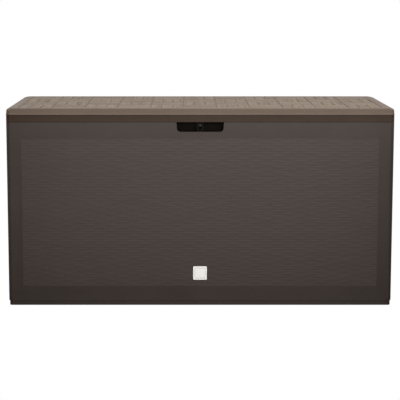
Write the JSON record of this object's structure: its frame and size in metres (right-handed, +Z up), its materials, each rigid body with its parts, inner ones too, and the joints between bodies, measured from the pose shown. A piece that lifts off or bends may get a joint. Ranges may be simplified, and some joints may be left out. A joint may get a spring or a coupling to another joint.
{
  "type": "deck storage box",
  "caption": "Long resin garden storage box with a hinged two-part lid, woven-look panels, a front grip notch with a padlock eye and telescopic lid stays.",
  "frame": {"origin": "middle of the footprint, on the floor", "axes": "+X to the right along the long side, +Y to the hinged back, +Z up; the grip notch faces -Y"},
  "size_m": [1.18, 0.47, 0.61],
  "materials": {
    "body_brown": "dark brown moulded resin, fine grain",
    "skirt_brown": "warm dark brown moulded resin",
    "lid_mocha": "mocha moulded resin, wood-grain boards",
    "black_plastic": "black moulded plastic",
    "dark_steel": "dark powder coat",
    "chrome_rod": "polished rod",
    "zinc_steel": "zinc plated",
    "label_white": "white plate, blank"
  },
  "bodies": {
    "box": {"base_tray": "body_brown", "front_panel": "body_brown", "back_panel": "body_brown", "left_panel": "body_brown", "right_panel": "body_brown", "corner_angle_front_left": "body_brown", "corner_angle_front_right": "body_brown", "corner_angle_back_left": "body_brown", "corner_angle_back_right": "body_brown", "grip_cup": "black_plastic", "lock_lug": "black_plastic", "left_handle_cup": "black_plastic", "right_handle_cup": "black_plastic", "body_hinge_left": "black_plastic", "body_hinge_centre": "black_plastic", "body_hinge_right": "black_plastic", "hinge_pin_left": "zinc_steel", "hinge_pin_centre": "zinc_steel", "hinge_pin_right": "zinc_steel", "stay_mount_left": "dark_steel", "stay_mount_right": "dark_steel", "stay_caps_body": "black_plastic", "label_plate": "label_white", "corner_screws": "zinc_steel", "base_screws": "zinc_steel", "body_hinge_screws": "zinc_steel", "stay_mount_screws": "zinc_steel"},
    "lid": {"lid_cover": "lid_mocha", "lid_skirt": "skirt_brown", "lid_liner": "lid_mocha", "lid_hinge_left": "black_plastic", "lid_hinge_centre": "black_plastic", "lid_hinge_right": "black_plastic", "lock_tongue": "dark_steel", "tongue_stud": "zinc_steel", "stay_ear_left": "dark_steel", "stay_ear_right": "dark_steel", "stay_caps_lid": "black_plastic", "lid_hinge_screws": "zinc_steel", "liner_screws": "zinc_steel", "lid_fitting_screws": "zinc_steel"},
    "stay_tube_left": {"stay_tube_left": "dark_steel"},
    "stay_rod_left": {"stay_rod_left": "chrome_rod"},
    "stay_tube_right": {"stay_tube_right": "dark_steel"},
    "stay_rod_right": {"stay_rod_right": "chrome_rod"}
  },
  "joints": [
    {"name": "lid_hinge", "type": "hinge", "parent": "box", "child": "lid", "pos_m": [0, 0.225, 0.5775], "axis": [-1, 0, 0], "range_deg": [0, 95]},
    {"name": "stay_tube_left_pivot", "type": "hinge", "parent": "box", "child": "stay_tube_left", "pos_m": [0, 0.17388, 0.40491], "axis": [-1, 0, 0], "range_deg": [0, 48]},
    {"name": "stay_rod_left_pivot", "type": "hinge", "parent": "lid", "child": "stay_rod_left", "pos_m": [0, 0.04534, 0.56651], "axis": [-1, 0, 0], "range_deg": [-48, 0]},
    {"name": "stay_tube_right_pivot", "type": "hinge", "parent": "box", "child": "stay_tube_right", "pos_m": [0, 0.17388, 0.40491], "axis": [-1, 0, 0], "range_deg": [0, 48]},
    {"name": "stay_rod_right_pivot", "type": "hinge", "parent": "lid", "child": "stay_rod_right", "pos_m": [0, 0.04534, 0.56651], "axis": [-1, 0, 0], "range_deg": [-48, 0]}
  ],
  "couplings": [
    {"joint": "stay_tube_left_pivot", "follows": "lid_hinge", "ratio": 0.5},
    {"joint": "stay_rod_left_pivot", "follows": "lid_hinge", "ratio": -0.5},
    {"joint": "stay_tube_right_pivot", "follows": "lid_hinge", "ratio": 0.5},
    {"joint": "stay_rod_right_pivot", "follows": "lid_hinge", "ratio": -0.5}
  ]
}
